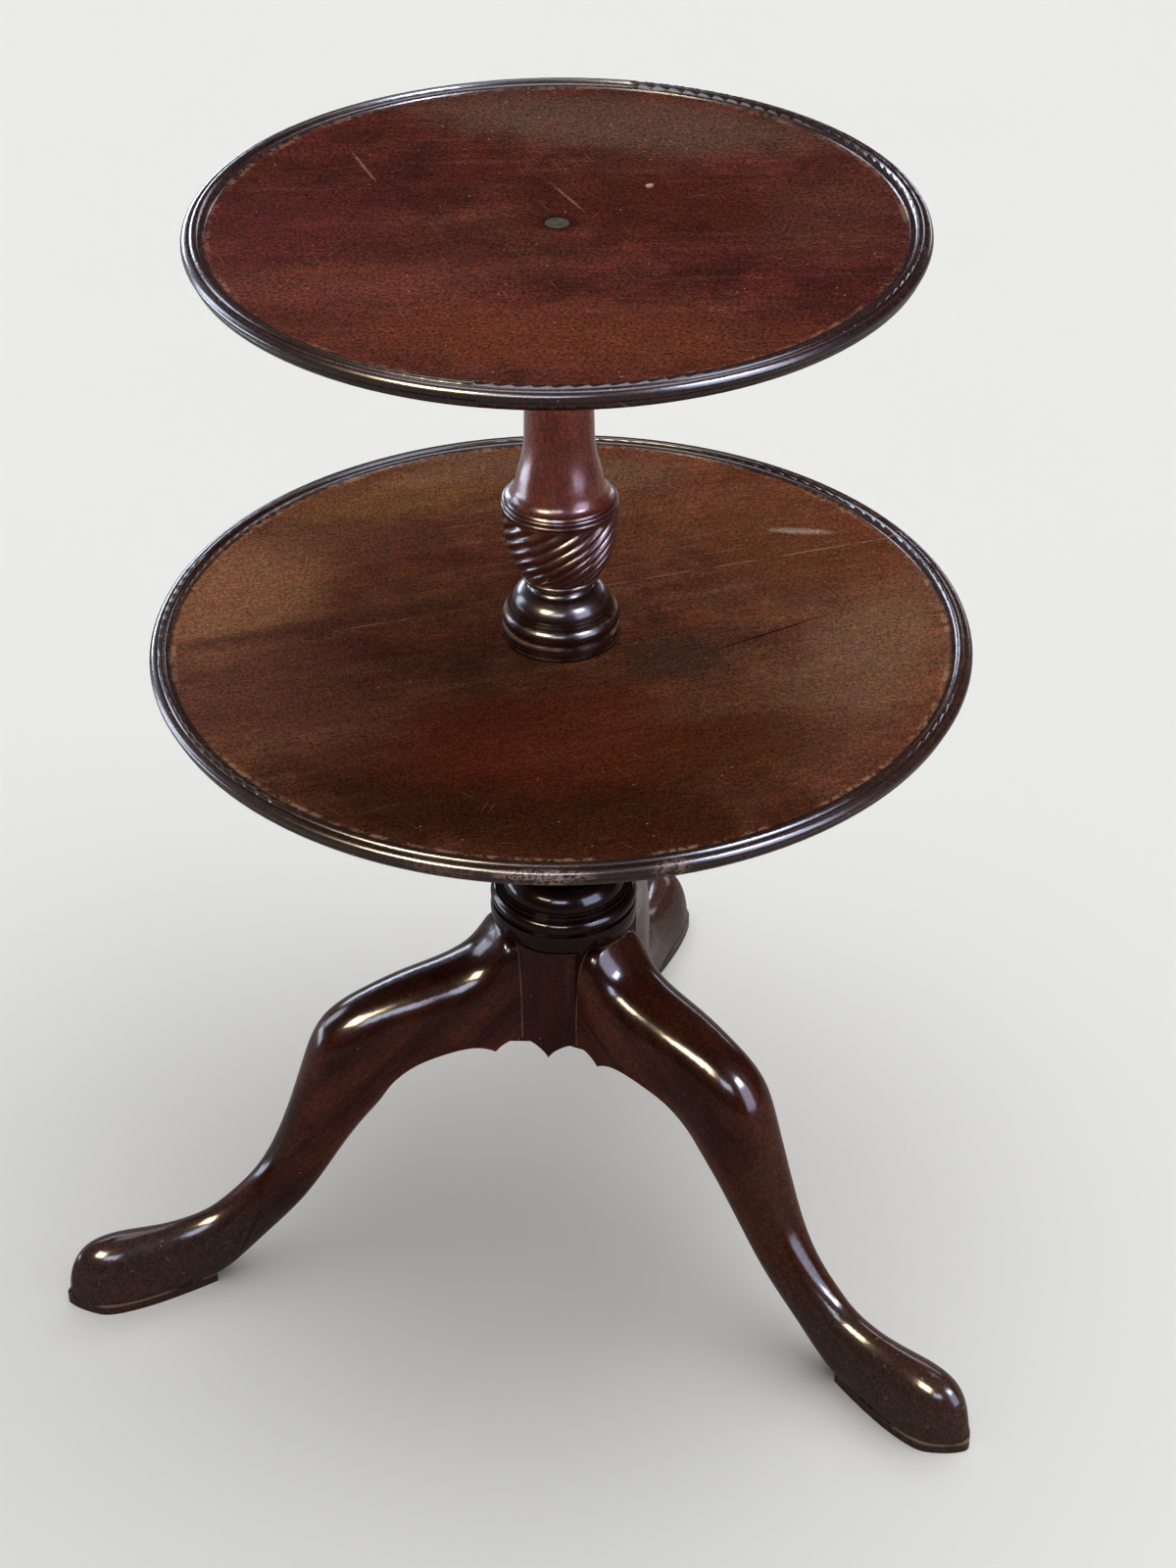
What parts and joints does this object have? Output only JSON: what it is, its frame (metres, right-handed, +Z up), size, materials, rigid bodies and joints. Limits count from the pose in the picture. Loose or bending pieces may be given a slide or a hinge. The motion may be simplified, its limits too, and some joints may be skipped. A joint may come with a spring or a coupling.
{
  "type": "dumbwaiter table",
  "caption": "Tiered wooden tripod table with revolving round dished shelves on a turned column with spiral-ribbed urns and cabriole legs.",
  "frame": {"origin": "point on the floor on the column's axis", "axes": "+Z up along the column, +Y towards the rear leg, the lone leg on the far side of the column"},
  "size_m": [0.7258, 0.718, 0.8839],
  "materials": {
    "column_wood": "old polished mahogany, nearly black in the hollows",
    "leg_wood": "old polished mahogany, glossy on the crests",
    "stem_wood": "old polished mahogany, redder on the shaft",
    "lower_tier_wood": "old polished mahogany, worn golden in the middle",
    "upper_tier_wood": "old polished red-brown mahogany, scratched",
    "boss_wood": "unpolished dark mahogany",
    "pin_iron": "worn dark iron",
    "screw_iron": "dull iron"
  },
  "bodies": {
    "stand": {"base_column": "column_wood", "leg_rear": "leg_wood", "leg_front_left": "leg_wood", "leg_front_right": "leg_wood", "upper_stem": "stem_wood", "pivot_pin": "pin_iron"},
    "lower_tier": {"lower_tier_front_board": "lower_tier_wood", "lower_tier_rear_board": "lower_tier_wood", "lower_tier_boss": "boss_wood", "lower_tier_screws": "screw_iron"},
    "upper_tier": {"upper_tier_board": "upper_tier_wood", "upper_tier_boss": "boss_wood", "upper_tier_screws": "screw_iron"}
  },
  "joints": [
    {"name": "lower_tier_turn", "type": "hinge", "parent": "stand", "child": "lower_tier", "pos_m": [0, 0, 0.544], "axis": [0, 0, 1], "continuous": true},
    {"name": "upper_tier_turn", "type": "hinge", "parent": "stand", "child": "upper_tier", "pos_m": [0, 0, 0.8678], "axis": [0, 0, 1], "continuous": true}
  ]
}
